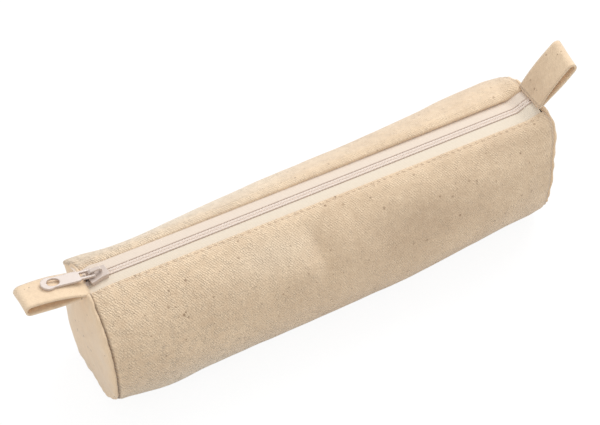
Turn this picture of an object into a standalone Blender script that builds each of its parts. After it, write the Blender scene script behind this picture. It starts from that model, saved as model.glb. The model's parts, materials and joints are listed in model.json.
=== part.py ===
"""Cotton pencil case: a canvas tube with two round end panels, a coil zip on top and two tab loops."""

import math

import bmesh
import bpy
from mathutils import Matrix, Vector

# Frame: +X runs along the case, -Y is the front, +Z is up, and the origin is the middle of the base.
# Lengths are in metres and angles in radians.

# Canvas body
BODY_LENGTH = 0.205
BODY_RADIUS = 0.030
BASE_WIDTH = 0.024
CANVAS = 0.0008
SEAT = 0.0003
MOUTH_WIDTH = 0.0142
HEM_WIDTH = 0.0080
SEAM_ALLOWANCE = 0.0075
END_DRAW_IN = 0.0008
END_DRAW_LENGTH = 0.010
STEP_LENGTH = 0.0004
BODY_SEGMENTS = 52
FOLD_TURNS = (math.radians(18), math.radians(48), math.radians(90))
ALLOWANCE_SHARES = (0.25, 0.55)
DRAW_IN_SHARES = (1, 2.4)

# Round end panels
PANEL_BULGE = 0.0035
PANEL_CORNER = 0.0012
PANEL_SEGMENTS = 48
PANEL_CORNER_SEGMENTS = 3
PANEL_DISH_SHARES = (0.3, 0.6, 0.85, 1)
NOTCH_OVERRUN = 0.004

# Zip, which runs at a slight skew to the case because the soft tube lies twisted
ZIP_SKEW = math.radians(1.8)
ZIP_DEPTH = 0.0036
TAPE_THICKNESS = 0.0005
TAPE_UNDERLAP = 0.0062
TAPE_EDGE_GAP = 0.0005
TAPE_MOUTH_SHARES = (0.62, 0.86)
TAPE_UNDERLAP_SHARES = (0.05, 0.25, 0.45, 0.65, 0.85, 1)
TAPE_THROAT_SHARES = (0.2, 0.4, 0.6, 0.8, 1)
TAPE_RUN_SHARES = (-0.6, -0.2, 0.2, 0.6)
TAPE_END_SHARES = (1, 0.75, 0.5, 0.25)
COIL_HALF_WIDTH = 0.0019
COIL_HEIGHT = 0.0012
TOOTH_PITCH = 0.0014
TOOTH_REACH = 0.00045
TOOTH_NECK = 0.00044
TOOTH_HEAD = 0.00056
TOOTH_CLEARANCE = 0.0002

# Slider
SLIDER_LENGTH = 0.0080
SLIDER_PLATE = 0.0008
SLIDER_FLANGE = 0.0005
SLIDER_CORNER = 0.0007
DIVIDER_HALF_WIDTH = 0.0006
DIVIDER_TIP = 0.0002
THROAT_SHARE = 0.78
CROWN_WIDTH = 0.0016
CROWN_THICKNESS = 0.0008
CROWN_SET_BACK = 0.0004
CROWN_SPAN = 0.0039
OVERRUN = 0.0002
HEEL_ROOM = 0.0064
SLIDER_CORNER_TURNS = (0, math.radians(35), math.radians(65), math.radians(90))
SLIDER_THROAT_SHARES = (0.25, 0.4, 0.55, 0.7, 0.85, 1)
DIVIDER_SEGMENTS = 12

# Stops at the closed end of the zip
STOP_LENGTH = 0.0015
STOP_WALL = 0.0005
STOP_GRIP = 0.0014

# Pull
PULL_LENGTH = 0.0210
PULL_THICKNESS = 0.0010
PULL_STRAP_WIDTH = 0.0052
PULL_EYE_WIDTH = 0.0042
PULL_BAR = 0.0012
PULL_WINDOW_LENGTH = 0.0046
PULL_ARM = 0.0009
PULL_RING_WIDTH = 0.0062
PULL_TIP_RIM = 0.0024
PULL_HOLE_LENGTH = 0.0052
PULL_HOLE_WIDTH = 0.0038
PULL_EDGE = 0.00015
PULL_RING_SEGMENTS = 10
PULL_HOLE_SEGMENTS = 20
BAR_CLEARANCE = 0.0001

# Tab loops, which fill the mouth's width at its two ends
TAB_LENGTH = 0.0236
TAB_OPENING = math.radians(11)
LEFT_TAB_RISE = math.radians(8.5)
RIGHT_TAB_RISE = math.radians(47)
TAB_ARC_SEGMENTS = 12

# Looks
SHARP_ANGLE = math.radians(35)
CANVAS_COLOUR = (0.74, 0.60, 0.43, 1)
TAPE_COLOUR = (0.85, 0.75, 0.62, 1)
COIL_COLOUR = (0.78, 0.66, 0.56, 1)
METAL_COLOUR = (0.68, 0.59, 0.53, 1)

# Sizes that follow from those above
AXIS_Z = math.sqrt(BODY_RADIUS**2 - (BASE_WIDTH / 2) ** 2)
END_RADIUS = BODY_RADIUS - END_DRAW_IN
PANEL_DEPTH = 2 * CANVAS + SEAT
PANEL_RADIUS = END_RADIUS - PANEL_DEPTH
HALF_LENGTH = BODY_LENGTH / 2
TAPE_TOP = AXIS_Z + BODY_RADIUS - ZIP_DEPTH
TAPE_OUTER = MOUTH_WIDTH / 2 + TAPE_UNDERLAP
ZIP_END = (HALF_LENGTH - CANVAS - SEAT - TAPE_OUTER * math.sin(ZIP_SKEW)) / math.cos(ZIP_SKEW)
SLIDER_REST = -ZIP_END + SEAT + STOP_LENGTH + SEAT
ZIP_SPREAD = TOOTH_REACH + TOOTH_CLEARANCE + DIVIDER_HALF_WIDTH
COIL_BOTTOM = TAPE_TOP + SEAT
COIL_TOP = COIL_BOTTOM + COIL_HEIGHT
PLATE_BOTTOM = COIL_TOP + SEAT
PLATE_TOP = PLATE_BOTTOM + SLIDER_PLATE
KEEL_TOP = TAPE_TOP - TAPE_THICKNESS - SEAT
BAR_SWEEP = math.hypot(PULL_BAR, PULL_THICKNESS) / 2 + BAR_CLEARANCE
PIVOT_U = SLIDER_REST + CROWN_SET_BACK + CROWN_THICKNESS + BAR_SWEEP
PIVOT_Z = PLATE_TOP + BAR_SWEEP
TAB_WIDTH = MOUTH_WIDTH - 2 * SEAT
TAB_BOTTOM = AXIS_Z + PANEL_RADIUS + SEAT
TAB_ROOT = ZIP_END + SEAT
TAB_HINGE = HALF_LENGTH + SEAT


def material(name, colour, roughness, metallic):
    """A Principled material with one colour."""
    made = bpy.data.materials.new(name)
    made.use_nodes = True
    shader = made.node_tree.nodes["Principled BSDF"]
    shader.inputs["Base Color"].default_value = colour
    shader.inputs["Roughness"].default_value = roughness
    shader.inputs["Metallic"].default_value = metallic
    made.diffuse_color = colour
    return made


def add_object(name, bm, finish, parent=None, origin=(0, 0, 0)):
    """Turns a bmesh into an object whose origin is at the given point of its parent's frame."""
    bmesh.ops.recalc_face_normals(bm, faces=bm.faces)
    bm.transform(Matrix.Translation(-Vector(origin)))
    mesh = bpy.data.meshes.new(name)
    bm.to_mesh(mesh)
    bm.free()
    mesh.shade_smooth()
    mesh.set_sharp_from_angle(angle=SHARP_ANGLE)
    obj = bpy.data.objects.new(name, mesh)
    bpy.context.scene.collection.objects.link(obj)
    obj.location = origin
    if finish:
        mesh.materials.append(finish)
    if parent:
        obj.parent = parent
    return obj


def as_helper(obj):
    """Keeps an object out of the model, for use by a modifier only."""
    obj.hide_render = True
    obj.display_type = "WIRE"
    return obj


def add_boolean(obj, other, operation):
    modifier = obj.modifiers.new(other.name, "BOOLEAN")
    modifier.operation = operation
    modifier.object = other
    modifier.solver = "EXACT"


def loft_strip(rings):
    """A closed solid through rings of (outer points, inner points), which pair up along each ring."""
    bm = bmesh.new()
    loops = [[bm.verts.new(p) for p in (*outer, *reversed(inner))] for outer, inner in rings]
    count = len(loops[0])
    for first, second in zip(loops, loops[1:]):
        for j in range(count):
            k = (j + 1) % count
            bm.faces.new((first[j], first[k], second[k], second[j]))
    for loop in (loops[0], loops[-1]):
        for j in range(count // 2 - 1):
            bm.faces.new((loop[j], loop[j + 1], loop[count - 2 - j], loop[count - 1 - j]))
    return bm


def extrude_faces(polygons, direction):
    """A solid from flat polygons that share corners, pushed along a direction."""
    bm = bmesh.new()
    corners = {}
    for polygon in polygons:
        for point in polygon:
            corners.setdefault(tuple(point), None)
    for point in corners:
        corners[point] = bm.verts.new(point)
    for polygon in polygons:
        bm.faces.new([corners[tuple(point)] for point in polygon])
    grown = bmesh.ops.extrude_face_region(bm, geom=bm.faces[:], use_keep_orig=True)
    moved = [item for item in grown["geom"] if isinstance(item, bmesh.types.BMVert)]
    bmesh.ops.translate(bm, verts=moved, vec=direction)
    return bm


def smooth_step(share):
    share = min(max(share, 0), 1)
    return share * share * (3 - 2 * share)


def tube_radius(x):
    """Outer radius of the canvas tube, which the end seams draw in a little."""
    share = (abs(x) - (HALF_LENGTH - END_DRAW_LENGTH)) / END_DRAW_LENGTH
    return BODY_RADIUS - END_DRAW_IN * smooth_step(share)


def settled(x, radius, depth, angle):
    """Point at an angle, a depth below the outer surface, with the base flat where the case rests."""
    reach = radius - depth
    z = max(reach * math.sin(angle), depth - AXIS_Z)
    return x, reach * math.cos(angle), AXIS_Z + z


def fold_steps():
    """Set-back and half thickness along the round edge of folded canvas, from its tip inwards."""
    return [(CANVAS * (1 - math.cos(a)), CANVAS * math.sin(a)) for a in FOLD_TURNS]


def hem_pairs():
    """Distance from the hem's edge, layers of canvas, and the fold's half thickness there."""
    edge = [(set_back, 2, half) for set_back, half in fold_steps()]
    return edge + [
        (HEM_WIDTH / 2, 2, CANVAS),
        (HEM_WIDTH, 2, CANVAS),
        (HEM_WIDTH + STEP_LENGTH, 1, CANVAS),
    ]


def body_stations():
    """Place along the case, layers of canvas, and the end fold's half thickness there."""
    half = [(HALF_LENGTH - set_back, 2, fold) for set_back, fold in fold_steps()]
    allowance = HALF_LENGTH - SEAM_ALLOWANCE
    half += [(HALF_LENGTH - share * SEAM_ALLOWANCE, 2, CANVAS) for share in ALLOWANCE_SHARES]
    half += [(allowance, 2, CANVAS), (allowance - STEP_LENGTH, 1, CANVAS)]
    half += [(HALF_LENGTH - END_DRAW_LENGTH * share, 1, CANVAS) for share in DRAW_IN_SHARES]
    half.append((HALF_LENGTH / 2, 1, CANVAS))
    return [(-x, *rest) for x, *rest in half] + [(0, 1, CANVAS)] + half[::-1]


def body_ring(x, layers, fold):
    """Outer and inner points of the open canvas section at x, from the front hem round to the back hem."""
    radius = tube_radius(x)
    middle = -x * math.tan(ZIP_SKEW)
    front = math.acos((middle - MOUTH_WIDTH / 2) / radius)
    back = math.acos((middle + MOUTH_WIDTH / 2) / radius) + 2 * math.pi
    hem = hem_pairs()
    plain = (HEM_WIDTH + STEP_LENGTH) / radius
    points = [(front + d / radius, n, h) for d, n, h in hem]
    sweep = back - front - 2 * plain
    points += [(front + plain + sweep * i / BODY_SEGMENTS, 1, CANVAS) for i in range(1, BODY_SEGMENTS)]
    points += [(back - d / radius, n, h) for d, n, h in reversed(hem)]
    outer, inner = [], []
    for angle, pair_layers, pair_fold in points:
        half = min(fold, pair_fold)
        thickness = CANVAS * max(layers, pair_layers)
        outer.append(settled(x, radius, CANVAS - half, angle))
        inner.append(settled(x, radius, min(thickness, CANVAS + half), angle))
    return outer, inner


def make_body_panel(finish):
    rings = [body_ring(*station) for station in body_stations()]
    return add_object("body_panel", loft_strip(rings), finish)


def panel_profile():
    """(Distance along the case, radius) round one dished end panel and its turned-in rim."""
    face = HALF_LENGTH
    inner_corner = PANEL_CORNER - CANVAS
    rim_end = HALF_LENGTH - SEAM_ALLOWANCE
    flat = PANEL_RADIUS - PANEL_CORNER
    dish = [(share, PANEL_BULGE * (1 - share * share)) for share in PANEL_DISH_SHARES]
    steps = range(1, PANEL_CORNER_SEGMENTS + 1)
    turns = [math.pi / 2 * i / PANEL_CORNER_SEGMENTS for i in steps]
    outer = [(face + rise, flat * share) for share, rise in dish]
    for a in turns:
        outer.append((face - PANEL_CORNER * (1 - math.cos(a)), flat + PANEL_CORNER * math.sin(a)))
    outer.append((rim_end, PANEL_RADIUS))
    inner = [(rim_end, PANEL_RADIUS - CANVAS)]
    for a in reversed(turns):
        x = face - PANEL_CORNER + inner_corner * math.cos(a)
        inner.append((x, flat + inner_corner * math.sin(a)))
    inner += [(face - CANVAS + rise, flat * share) for share, rise in reversed(dish)]
    return outer + inner


def make_end_panel(name, side, finish):
    """A round panel whose rim lies inside the tube, cut away under the zip."""
    bm = bmesh.new()
    rings = []
    for x, radius in panel_profile():
        depth = END_RADIUS - radius
        angles = [2 * math.pi * i / PANEL_SEGMENTS for i in range(PANEL_SEGMENTS)]
        rings.append([bm.verts.new(settled(side * x, END_RADIUS, depth, a)) for a in angles])
    for first, second in zip(rings, rings[1:]):
        for j in range(PANEL_SEGMENTS):
            k = (j + 1) % PANEL_SEGMENTS
            bm.faces.new((first[j], first[k], second[k], second[j]))
    for ring, x in ((rings[0], HALF_LENGTH + PANEL_BULGE), (rings[-1], HALF_LENGTH + PANEL_BULGE - CANVAS)):
        centre = bm.verts.new((side * x, 0, AXIS_Z))
        for j in range(PANEL_SEGMENTS):
            bm.faces.new((ring[j], ring[(j + 1) % PANEL_SEGMENTS], centre))
    panel = add_object(name, bm, finish)
    add_boolean(panel, notch_cutter(name + "_notch", side), "DIFFERENCE")
    return panel


def notch_cutter(name, side):
    """The block that clears the panel's rim from under the zip, the slider and the hems."""
    far = HALF_LENGTH - CANVAS - SEAT / 2
    near = HALF_LENGTH - SEAM_ALLOWANCE - NOTCH_OVERRUN
    reach = TAPE_OUTER + ZIP_END * math.sin(ZIP_SKEW) + SEAT
    low = AXIS_Z + math.sqrt(PANEL_RADIUS**2 - reach**2) - 2 * CANVAS - NOTCH_OVERRUN
    high = AXIS_Z + BODY_RADIUS + NOTCH_OVERRUN
    outline = [(side * x, -reach, z) for x, z in ((near, low), (far, low), (far, high), (near, high))]
    return as_helper(add_object(name, extrude_faces([outline], (0, 2 * reach, 0)), None))


def zip_spread(u):
    """How far each half of the zip stands off the zip's line, where the slider's divider parts them."""
    share = 1 - (u - SLIDER_REST) / (SLIDER_LENGTH * THROAT_SHARE)
    return ZIP_SPREAD * smooth_step(share)


def tape_height(u, v):
    """Top of the tape: level in the mouth, and just under the folded hem beside it."""
    x = u * math.cos(ZIP_SKEW) + v * math.sin(ZIP_SKEW)
    y = v * math.cos(ZIP_SKEW) - u * math.sin(ZIP_SKEW)
    under = tube_radius(x) - PANEL_DEPTH
    return min(TAPE_TOP, AXIS_Z + math.sqrt(under * under - y * y))


def tape_ring(u, side):
    start = TAPE_EDGE_GAP / 2 + zip_spread(u)
    free = MOUTH_WIDTH / 2
    across = [start] + [free * share for share in TAPE_MOUTH_SHARES]
    across += [free + TAPE_UNDERLAP * share for share in TAPE_UNDERLAP_SHARES]
    top = [(u, side * v, tape_height(u, side * v)) for v in across]
    bottom = [(x, y, z - TAPE_THICKNESS) for x, y, z in top]
    return top, bottom


def tape_stations():
    throat = SLIDER_LENGTH * THROAT_SHARE
    stations = [-ZIP_END, SLIDER_REST]
    stations += [SLIDER_REST + throat * share for share in TAPE_THROAT_SHARES]
    stations += [(HALF_LENGTH - END_DRAW_LENGTH) * share for share in TAPE_RUN_SHARES]
    stations += [HALF_LENGTH - END_DRAW_LENGTH * share for share in TAPE_END_SHARES]
    return [*stations, ZIP_END]


def make_tape(name, side, finish, zip_line):
    rings = [tape_ring(u, side) for u in tape_stations()]
    fold = (0, side * MOUTH_WIDTH / 2, TAPE_TOP)
    return add_object(name, loft_strip(rings), finish, zip_line, fold)


def coil_cell(centre, side):
    """Top corners of one coil tooth and its stretch of the back, as places along and across the zip."""
    valley = TOOTH_REACH + TOOTH_CLEARANCE
    shape = (
        (-TOOTH_PITCH / 2, COIL_HALF_WIDTH),
        (-TOOTH_NECK / 2, valley),
        (-TOOTH_HEAD / 2, -TOOTH_REACH),
        (TOOTH_HEAD / 2, -TOOTH_REACH),
        (TOOTH_NECK / 2, valley),
    )
    points = []
    for along, across in shape:
        u = centre + along
        points.append((u, side * (across + zip_spread(u)), COIL_TOP))
    return points


def make_coil(name, side, finish, zip_line):
    """One half of the coil: teeth with wide heads on a common back, which mesh with the other half's."""
    run = ZIP_END - SLIDER_REST - SEAT - TOOTH_PITCH / 2
    count = int(run / TOOTH_PITCH)
    start = SLIDER_REST + TOOTH_PITCH / 2 + (TOOTH_PITCH / 2 if side > 0 else 0)
    cells = [coil_cell(start + i * TOOTH_PITCH, side) for i in range(count)]
    faces = []
    for cell, following in zip(cells, cells[1:]):
        back, neck_in, head_in, head_out, neck_out = cell
        faces.append((neck_in, head_in, head_out, neck_out))
        faces.append((back, neck_in, neck_out, following[1], following[0]))
    bm = extrude_faces(faces, (0, 0, -COIL_HEIGHT))
    fold = (0, side * MOUTH_WIDTH / 2, TAPE_TOP)
    return add_object(name, bm, finish, zip_line, fold)


def make_top_stop(name, side, finish, zip_line):
    """A small clip closed round the edge of one tape."""
    web = TAPE_EDGE_GAP / 2 + ZIP_SPREAD - SEAT - STOP_WALL
    tip = web + STOP_WALL + SEAT + STOP_GRIP
    slot_top = TAPE_TOP + SEAT
    slot_bottom = TAPE_TOP - TAPE_THICKNESS - SEAT
    high, low = slot_top + STOP_WALL, slot_bottom - STOP_WALL
    root = web + STOP_WALL
    u = -ZIP_END + SEAT
    top_jaw = ((root, high), (tip, high), (tip, slot_top), (root, slot_top))
    spine = ((web, high), (root, high), (root, slot_top), (root, slot_bottom), (root, low), (web, low))
    bottom_jaw = ((root, slot_bottom), (tip, slot_bottom), (tip, low), (root, low))
    faces = [[(u, side * v, z) for v, z in shape] for shape in (top_jaw, spine, bottom_jaw)]
    return add_object(name, extrude_faces(faces, (STOP_LENGTH, 0, 0)), finish, zip_line, (u, 0, TAPE_TOP))


def slider_stations():
    """Places along the slider, closer together at its round corners."""
    ends = [SLIDER_CORNER * (1 - math.cos(a)) for a in SLIDER_CORNER_TURNS]
    throat = SLIDER_LENGTH * THROAT_SHARE
    middle = [throat * share for share in SLIDER_THROAT_SHARES]
    return ends + middle + [SLIDER_LENGTH - end for end in reversed(ends)]


def slider_half_width(along):
    """Half width of the slider's plates, which follow the two halves of the coil."""
    channel = COIL_HALF_WIDTH + SEAT + zip_spread(SLIDER_REST + along)
    return channel + SLIDER_FLANGE - corner_cut(along)


def corner_cut(along):
    """How much a round corner takes off the half width near either end of the slider."""
    into = min(along, SLIDER_LENGTH - along, SLIDER_CORNER)
    return SLIDER_CORNER - math.sqrt(SLIDER_CORNER**2 - (SLIDER_CORNER - into) ** 2)


def slider_plate(top, thickness):
    faces = []
    stations = slider_stations()
    for near, far in zip(stations, stations[1:]):
        a, b = slider_half_width(near), slider_half_width(far)
        n, f = SLIDER_REST + near, SLIDER_REST + far
        faces.append(((n, -a, top), (f, -b, top), (f, b, top), (n, a, top)))
    return extrude_faces(faces, (0, 0, -thickness))


def slider_flange(side):
    """The wall along one side of the top plate that keeps the coil in its channel."""
    stations = [s for s in slider_stations() if SLIDER_CORNER / 2 < s < SLIDER_LENGTH - SLIDER_CORNER / 2]
    top = PLATE_BOTTOM + OVERRUN
    faces = []
    for near, far in zip(stations, stations[1:]):
        a, b = slider_half_width(near), slider_half_width(far)
        n, f = SLIDER_REST + near, SLIDER_REST + far
        inner_a = COIL_HALF_WIDTH + SEAT + zip_spread(n)
        inner_b = COIL_HALF_WIDTH + SEAT + zip_spread(f)
        quad = ((n, a), (f, b), (f, inner_b), (n, inner_a))
        faces.append([(u, side * v, top) for u, v in quad])
    return extrude_faces(faces, (0, 0, COIL_BOTTOM - top))


def slider_divider():
    """The wedge between the plates that parts the two halves of the coil."""
    top = PLATE_BOTTOM + OVERRUN
    step = SLIDER_LENGTH * THROAT_SHARE / DIVIDER_SEGMENTS
    places = [SLIDER_CORNER + step * i for i in range(DIVIDER_SEGMENTS)]
    halves = []
    for along in places:
        half = zip_spread(SLIDER_REST + along) - TOOTH_REACH - TOOTH_CLEARANCE
        if half >= DIVIDER_TIP:
            halves.append((SLIDER_REST + along, half))
    faces = []
    for (n, a), (f, b) in zip(halves, halves[1:]):
        faces.append(((n, -a, top), (f, -b, top), (f, b, top), (n, a, top)))
    return extrude_faces(faces, (0, 0, KEEL_TOP - OVERRUN - top))


def slider_crown():
    """The lengthwise bridge on the top plate that holds the pull's bar."""
    near = PIVOT_U - BAR_SWEEP - CROWN_THICKNESS
    far = near + CROWN_SPAN + 2 * CROWN_THICKNESS
    low = PLATE_TOP - OVERRUN
    inner_top = PLATE_TOP + 2 * BAR_SWEEP
    high = inner_top + CROWN_THICKNESS
    cut = CROWN_THICKNESS
    y = -CROWN_WIDTH / 2
    near_leg = ((near, low), (near + cut, low), (near + cut, inner_top), (near, inner_top))
    far_leg = ((far - cut, low), (far, low), (far, inner_top), (far - cut, inner_top))
    span = (
        (near, inner_top),
        (near + cut, inner_top),
        (far - cut, inner_top),
        (far, inner_top),
        (far - cut, high),
        (near + cut, high),
    )
    faces = [[(u, y, z) for u, z in shape] for shape in (near_leg, span, far_leg)]
    return extrude_faces(faces, (0, CROWN_WIDTH, 0))


def make_slider(finish, zip_line):
    origin = (SLIDER_REST, 0, TAPE_TOP)
    slider = add_object("slider_body", slider_plate(PLATE_TOP, SLIDER_PLATE), finish, zip_line, origin)
    pieces = {
        "slider_keel": slider_plate(KEEL_TOP, SLIDER_PLATE),
        "slider_flange_front": slider_flange(-1),
        "slider_flange_back": slider_flange(1),
        "slider_divider": slider_divider(),
        "slider_crown": slider_crown(),
    }
    order = ("slider_flange_front", "slider_flange_back", "slider_divider", "slider_keel", "slider_crown")
    for name in order:
        add_boolean(slider, as_helper(add_object(name, pieces[name], None, zip_line)), "UNION")
    return slider


def pull_outline():
    """(Distance from the bar's axis, half width) along the pull, from its bar to its round end."""
    window_end = PULL_BAR / 2 + PULL_WINDOW_LENGTH
    ring = PULL_RING_WIDTH / 2
    ring_centre = PULL_LENGTH - ring
    points = [(-PULL_BAR / 2, PULL_EYE_WIDTH / 2), (window_end, PULL_EYE_WIDTH / 2)]
    points.append((window_end + PULL_ARM, PULL_STRAP_WIDTH / 2))
    neck = math.asin(PULL_STRAP_WIDTH / PULL_RING_WIDTH)
    turns = [(math.pi - neck) * (1 - i / PULL_RING_SEGMENTS) for i in range(PULL_RING_SEGMENTS)]
    points += [(ring_centre + ring * math.cos(a), ring * math.sin(a)) for a in turns]
    return points


def pull_rise():
    """Angle at which the pull lies: its round end rests on the left tab's upper leaf."""
    leaf = LEFT_TAB_RISE + TAB_OPENING / 2
    reach = PULL_LENGTH - PULL_RING_WIDTH / 2
    at_root = TAB_BOTTOM + 2 * CANVAS
    below_pivot = at_root + (-PIVOT_U + reach - TAB_HINGE) * math.tan(leaf)
    return math.atan((below_pivot + PULL_THICKNESS - PIVOT_Z) / reach)


def make_pull(finish, zip_line):
    """The flat pull, built along -X from its bar and then laid back over the left tab."""
    half = PULL_THICKNESS / 2
    faces = []
    outline = pull_outline()
    for (n, a), (f, b) in zip(outline, outline[1:]):
        faces.append(((-n, -a, half), (-f, -b, half), (-f, b, half), (-n, a, half)))
    tip = (-PULL_LENGTH, 0, half)
    last, width = outline[-1]
    faces.append(((-last, -width, half), tip, (-last, width, half)))
    pull = add_object("pull_tab", extrude_faces(faces, (0, 0, -PULL_THICKNESS)), finish, zip_line)
    window = as_helper(add_object("pull_window", window_cutter(), None, pull))
    hole = as_helper(add_object("pull_hole", hole_cutter(), None, pull))
    add_boolean(pull, window, "DIFFERENCE")
    add_boolean(pull, hole, "DIFFERENCE")
    bevel = pull.modifiers.new("edges", "BEVEL")
    bevel.width = PULL_EDGE
    bevel.segments = 1
    bevel.limit_method = "ANGLE"
    pull.location = (PIVOT_U, 0, PIVOT_Z)
    pull.rotation_euler = (0, pull_rise(), 0)
    return pull


def window_cutter():
    near, far = -PULL_BAR / 2, -PULL_BAR / 2 - PULL_WINDOW_LENGTH
    v = PULL_EYE_WIDTH / 2 - PULL_ARM
    outline = ((near, -v, PULL_THICKNESS), (far, -v, PULL_THICKNESS), (far, v, PULL_THICKNESS))
    outline += ((near, v, PULL_THICKNESS),)
    return extrude_faces([outline], (0, 0, -2 * PULL_THICKNESS))


def hole_cutter():
    centre = PULL_LENGTH - PULL_TIP_RIM - PULL_HOLE_LENGTH / 2
    long, wide = PULL_HOLE_LENGTH / 2, PULL_HOLE_WIDTH / 2
    turns = [2 * math.pi * i / PULL_HOLE_SEGMENTS for i in range(PULL_HOLE_SEGMENTS)]
    outline = [(-centre + long * math.cos(a), wide * math.sin(a), PULL_THICKNESS) for a in turns]
    return extrude_faces([outline], (0, 0, -2 * PULL_THICKNESS))


def tab_profile(rise):
    """Polygons in (outwards, up) of a folded strap: its root under the seam, two leaves and the tip."""
    stub = TAB_HINGE - TAB_ROOT
    spread = TAB_OPENING / 2
    along = Vector((math.cos(rise), math.sin(rise)))
    up = Vector((-math.sin(rise), math.cos(rise)))
    bend = Vector((stub, CANVAS))
    reach = (TAB_LENGTH - CANVAS * math.cos(spread)) / (1 + math.sin(spread))
    outer_radius = CANVAS * math.cos(spread) + reach * math.sin(spread)
    inner_radius = outer_radius - CANVAS
    tip = bend + along * reach
    turn = math.pi / 2 + spread
    angles = [-turn + 2 * turn * i / TAB_ARC_SEGMENTS for i in range(TAB_ARC_SEGMENTS + 1)]

    def arc(radius):
        return [tip + (along * math.cos(a) + up * math.sin(a)) * radius for a in angles]

    crotch = bend + along * (reach - inner_radius / math.sin(spread))
    outer = [bend - up * CANVAS, *arc(outer_radius), bend + up * CANVAS]
    inner = [crotch, *arc(inner_radius), crotch]
    polygons = [(outer[i], outer[i + 1], inner[i + 1], inner[i]) for i in range(1, len(outer) - 2)]
    polygons.append((outer[0], outer[1], inner[1], crotch))
    polygons.append((outer[-2], outer[-1], crotch, inner[-2]))
    root = (Vector((0, 0)), Vector((stub, 0)), outer[0], crotch, outer[-1], Vector((0, 2 * CANVAS)))
    polygons.append(root)
    return polygons


def make_tab(name, side, rise, finish, zip_line):
    def place(point):
        return side * (TAB_ROOT + point[0]), -TAB_WIDTH / 2, TAB_BOTTOM + point[1]

    faces = [[place(point) for point in polygon] for polygon in tab_profile(rise)]
    bm = extrude_faces(faces, (0, TAB_WIDTH, 0))
    return add_object(name, bm, finish, zip_line, (side * TAB_HINGE, 0, TAB_BOTTOM))


def make_zip_line():
    """The empty that the zip and the tabs hang on, turned by the zip's skew."""
    zip_line = bpy.data.objects.new("zip_line", None)
    bpy.context.scene.collection.objects.link(zip_line)
    zip_line.rotation_euler = (0, 0, -ZIP_SKEW)
    return zip_line


def slider_travel():
    """How far the slider runs from its closed end before its heel nears the end of the coil."""
    return ZIP_END - SLIDER_LENGTH - SLIDER_REST - HEEL_ROOM


def main():
    for obj in list(bpy.data.objects):
        bpy.data.objects.remove(obj)
    canvas = material("canvas", CANVAS_COLOUR, 0.95, 0)
    tape = material("zip_tape", TAPE_COLOUR, 0.9, 0)
    coil = material("zip_coil", COIL_COLOUR, 0.5, 0)
    metal = material("slider_enamel", METAL_COLOUR, 0.35, 0.3)
    zip_line = make_zip_line()
    make_body_panel(canvas)
    make_end_panel("end_panel_left", -1, canvas)
    make_end_panel("end_panel_right", 1, canvas)
    make_tab("tab_left", -1, LEFT_TAB_RISE, canvas, zip_line)
    make_tab("tab_right", 1, RIGHT_TAB_RISE, canvas, zip_line)
    for word, side in (("front", -1), ("back", 1)):
        make_tape("tape_" + word, side, tape, zip_line)
        make_coil("coil_" + word, side, coil, zip_line)
        make_top_stop("top_stop_" + word, side, coil, zip_line)
    make_slider(metal, zip_line)
    make_pull(metal, zip_line)
    print("axis height", round(AXIS_Z, 5), "tape top", round(TAPE_TOP, 5), "zip end", round(ZIP_END, 5))
    print("slider rest", round(SLIDER_REST, 5), "travel", round(slider_travel(), 4))
    print("pull pivot", round(PIVOT_U, 5), round(PIVOT_Z, 5), "rise", round(math.degrees(pull_rise()), 2))
    print("tab hinge", round(TAB_HINGE, 5), round(TAB_BOTTOM, 5))


main()
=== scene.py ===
"""Looks of the cotton pencil case: canvas, zip tape, coil, slider, loops, thread and a plain studio."""
import json
import math

import bpy
import numpy as np
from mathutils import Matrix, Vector, noise


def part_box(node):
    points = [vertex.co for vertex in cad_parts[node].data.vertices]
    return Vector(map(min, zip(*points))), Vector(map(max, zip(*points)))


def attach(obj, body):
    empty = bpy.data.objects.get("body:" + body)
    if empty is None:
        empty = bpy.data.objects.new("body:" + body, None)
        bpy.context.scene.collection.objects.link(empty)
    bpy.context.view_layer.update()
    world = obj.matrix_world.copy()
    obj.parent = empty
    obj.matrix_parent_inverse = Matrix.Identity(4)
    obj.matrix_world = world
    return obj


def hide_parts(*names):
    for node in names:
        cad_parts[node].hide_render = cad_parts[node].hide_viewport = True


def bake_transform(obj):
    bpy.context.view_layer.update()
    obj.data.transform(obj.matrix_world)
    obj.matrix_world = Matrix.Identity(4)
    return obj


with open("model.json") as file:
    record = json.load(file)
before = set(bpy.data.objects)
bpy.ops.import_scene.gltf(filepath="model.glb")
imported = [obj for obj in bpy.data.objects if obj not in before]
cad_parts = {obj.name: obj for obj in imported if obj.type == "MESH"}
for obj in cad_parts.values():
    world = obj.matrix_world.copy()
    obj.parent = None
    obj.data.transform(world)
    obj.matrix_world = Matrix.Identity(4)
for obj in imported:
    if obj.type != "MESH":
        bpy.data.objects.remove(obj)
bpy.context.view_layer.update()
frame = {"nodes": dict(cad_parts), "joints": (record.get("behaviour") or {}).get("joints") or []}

# Lengths are in metres and angles in radians. +X runs along the case, -Y is the front, +Z is up.

# Places read from the frame
JOINTS = {joint["name"]: joint for joint in frame["joints"]}
ALONG = Vector(JOINTS["slider_slide"]["axis"]).normalized()
ACROSS = Vector((-ALONG.y, ALONG.x, 0))
TAPE_TOP = JOINTS["back_fold"]["pos_m"][2]
MOUTH_HALF = Vector(JOINTS["back_fold"]["pos_m"][:2]).length
HALF_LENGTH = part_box("body_panel")[1].x
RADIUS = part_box("body_panel")[1].y

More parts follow.
